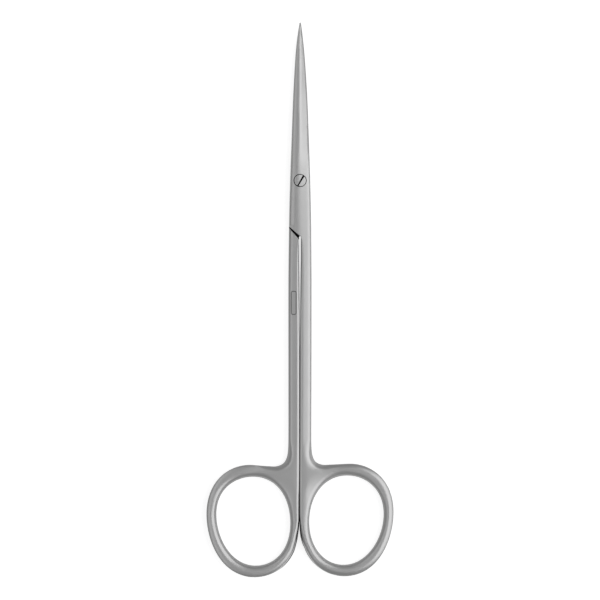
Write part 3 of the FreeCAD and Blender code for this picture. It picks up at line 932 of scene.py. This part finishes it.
# Steel darkened by an etching current: grey, and duller than the ground face round it
etching = {
    "colour": "#6a6a6a",
    "paleColour": "#808080",
    "roughness": 0.5,
    # etching bites unevenly, in spots of about 0.3 mm
    "spotScale": 3300.0,
}


def makeEtched(name, look):
    material, tree, shader = startMetal(name)
    shader.inputs["Roughness"].default_value = look["roughness"]
    place = addNode(tree, "ShaderNodeTexCoord").outputs["Object"]
    spots = addNode(tree, "ShaderNodeTexNoise", {"Scale": look["spotScale"], "Detail": 2.0},
                    Vector=place)
    mixColours(tree, shader, spots.outputs[0], look["colour"], look["paleColour"])
    return material


steel = makeSatin("satin_stainless", satin)
etched = makeEtched("etched_stainless", etching)
print("materials", steel.name, etched.name)
markPiece = buildMark("etched_line", lower, mark, etched)
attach(markPiece, "lower_body")
print("etched line", len(markPiece.data.polygons))
for piece in (upper, lower, screwPiece):
    piece.data.materials.clear()
    piece.data.materials.append(steel)

# Floor, lights and camera; lengths in metres, the view's width and centre in millimetres
studio = {
    "floorHalf": 1.5,
    "floorLevel": -0.0001,
    "floorLit": 0.5,
    "floorGlow": 0.74,
    "floorOthers": 0.85,
    "world": 0.4,
    "viewWidth": 173.1,
    "viewCentre": (0.03, -34.48),
    "viewRoll": 0.1,
    "viewHeight": 1.5,
    # azimuth, angle from straight up, distance, width, height, and brightness of the surface
    # where 1 is white
    "lights": {
        "key_right": (0, 43, 1.2, 2.0, 1.3, 1.2),
        "fill_left": (180, 27, 1.4, 1.9, 0.44, 0.72),
        "overhead": (0, 1, 2.2, 1.8, 0.7, 0.2),
    },
}

floorMesh = bpy.data.meshes.new("floor")
reach = studio["floorHalf"]
floorMesh.from_pydata([(x, y, studio["floorLevel"]) for x, y in
                       ((-reach, -reach), (reach, -reach), (reach, reach), (-reach, reach))],
                      [], [(0, 1, 2, 3)])
floor = addObject("floor", floorMesh)
floorMaterial = bpy.data.materials.new("floor_white")
floorMaterial.use_nodes = True
tree = floorMaterial.node_tree
tree.nodes.clear()
path = addNode(tree, "ShaderNodeLightPath")
# the floor is plain white to what looks straight at it or mirrors it
seen = path.outputs["Is Camera Ray"]
for kind in ("Is Glossy Ray", "Is Transmission Ray"):
    either = addNode(tree, "ShaderNodeMath", {"operation": "MAXIMUM"})
    tree.links.new(seen, either.inputs[0])
    tree.links.new(path.outputs[kind], either.inputs[1])
    seen = either.outputs[0]
level = addNode(tree, "ShaderNodeMapRange",
                {"To Min": studio["floorOthers"], "To Max": studio["floorLit"]}, Value=seen)
lit = addNode(tree, "ShaderNodeBsdfDiffuse", Color=level.outputs[0])
glow = addNode(tree, "ShaderNodeMapRange", {"To Min": 0.0, "To Max": studio["floorGlow"]},
               Value=seen)
white = addNode(tree, "ShaderNodeEmission", {"Color": (1, 1, 1, 1)}, Strength=glow.outputs[0])
both = addNode(tree, "ShaderNodeAddShader")
tree.links.new(lit.outputs[0], both.inputs[0])
tree.links.new(white.outputs[0], both.inputs[1])
addNode(tree, "ShaderNodeOutputMaterial", Surface=both.outputs[0])
floorMesh.materials.append(floorMaterial)

world = bpy.data.worlds.new("studio")
world.use_nodes = True
bpy.context.scene.world = world
background = world.node_tree.nodes["Background"]
background.inputs["Color"].default_value = (1, 1, 1, 1)
background.inputs["Strength"].default_value = studio["world"]


# Soft light that faces the object
def softLight(name, azimuth, polar, distance, width, height, radiance):
    data = bpy.data.lights.new(name, "AREA")
    data.shape = "RECTANGLE"
    data.size = width
    data.size_y = height
    data.energy = radiance * math.pi * width * height
    light = addObject(name, data)
    a, p = math.radians(azimuth), math.radians(polar)
    direction = Vector((math.cos(a) * math.sin(p), math.sin(a) * math.sin(p), math.cos(p)))
    light.location = direction * distance
    light.rotation_euler = direction.to_track_quat("Z", "Y").to_euler()


for name, facts in studio["lights"].items():
    softLight(name, *facts)

camera = addObject("camera", bpy.data.cameras.new("camera"))
camera.data.lens = (camera.data.sensor_width * studio["viewHeight"]
                    / (studio["viewWidth"] * millimetre))
camera.data.clip_end = 20
# its height is measured from the top of the scissors
camera.location = (studio["viewCentre"][0] * millimetre, studio["viewCentre"][1] * millimetre,
                   studio["viewHeight"] + 2 * half["halfThickness"] * millimetre)
camera.rotation_euler = (0, 0, math.radians(studio["viewRoll"]))
bpy.context.scene.camera = camera
bpy.context.scene.view_settings.view_transform = "Standard"
print("floor, lights and camera set")
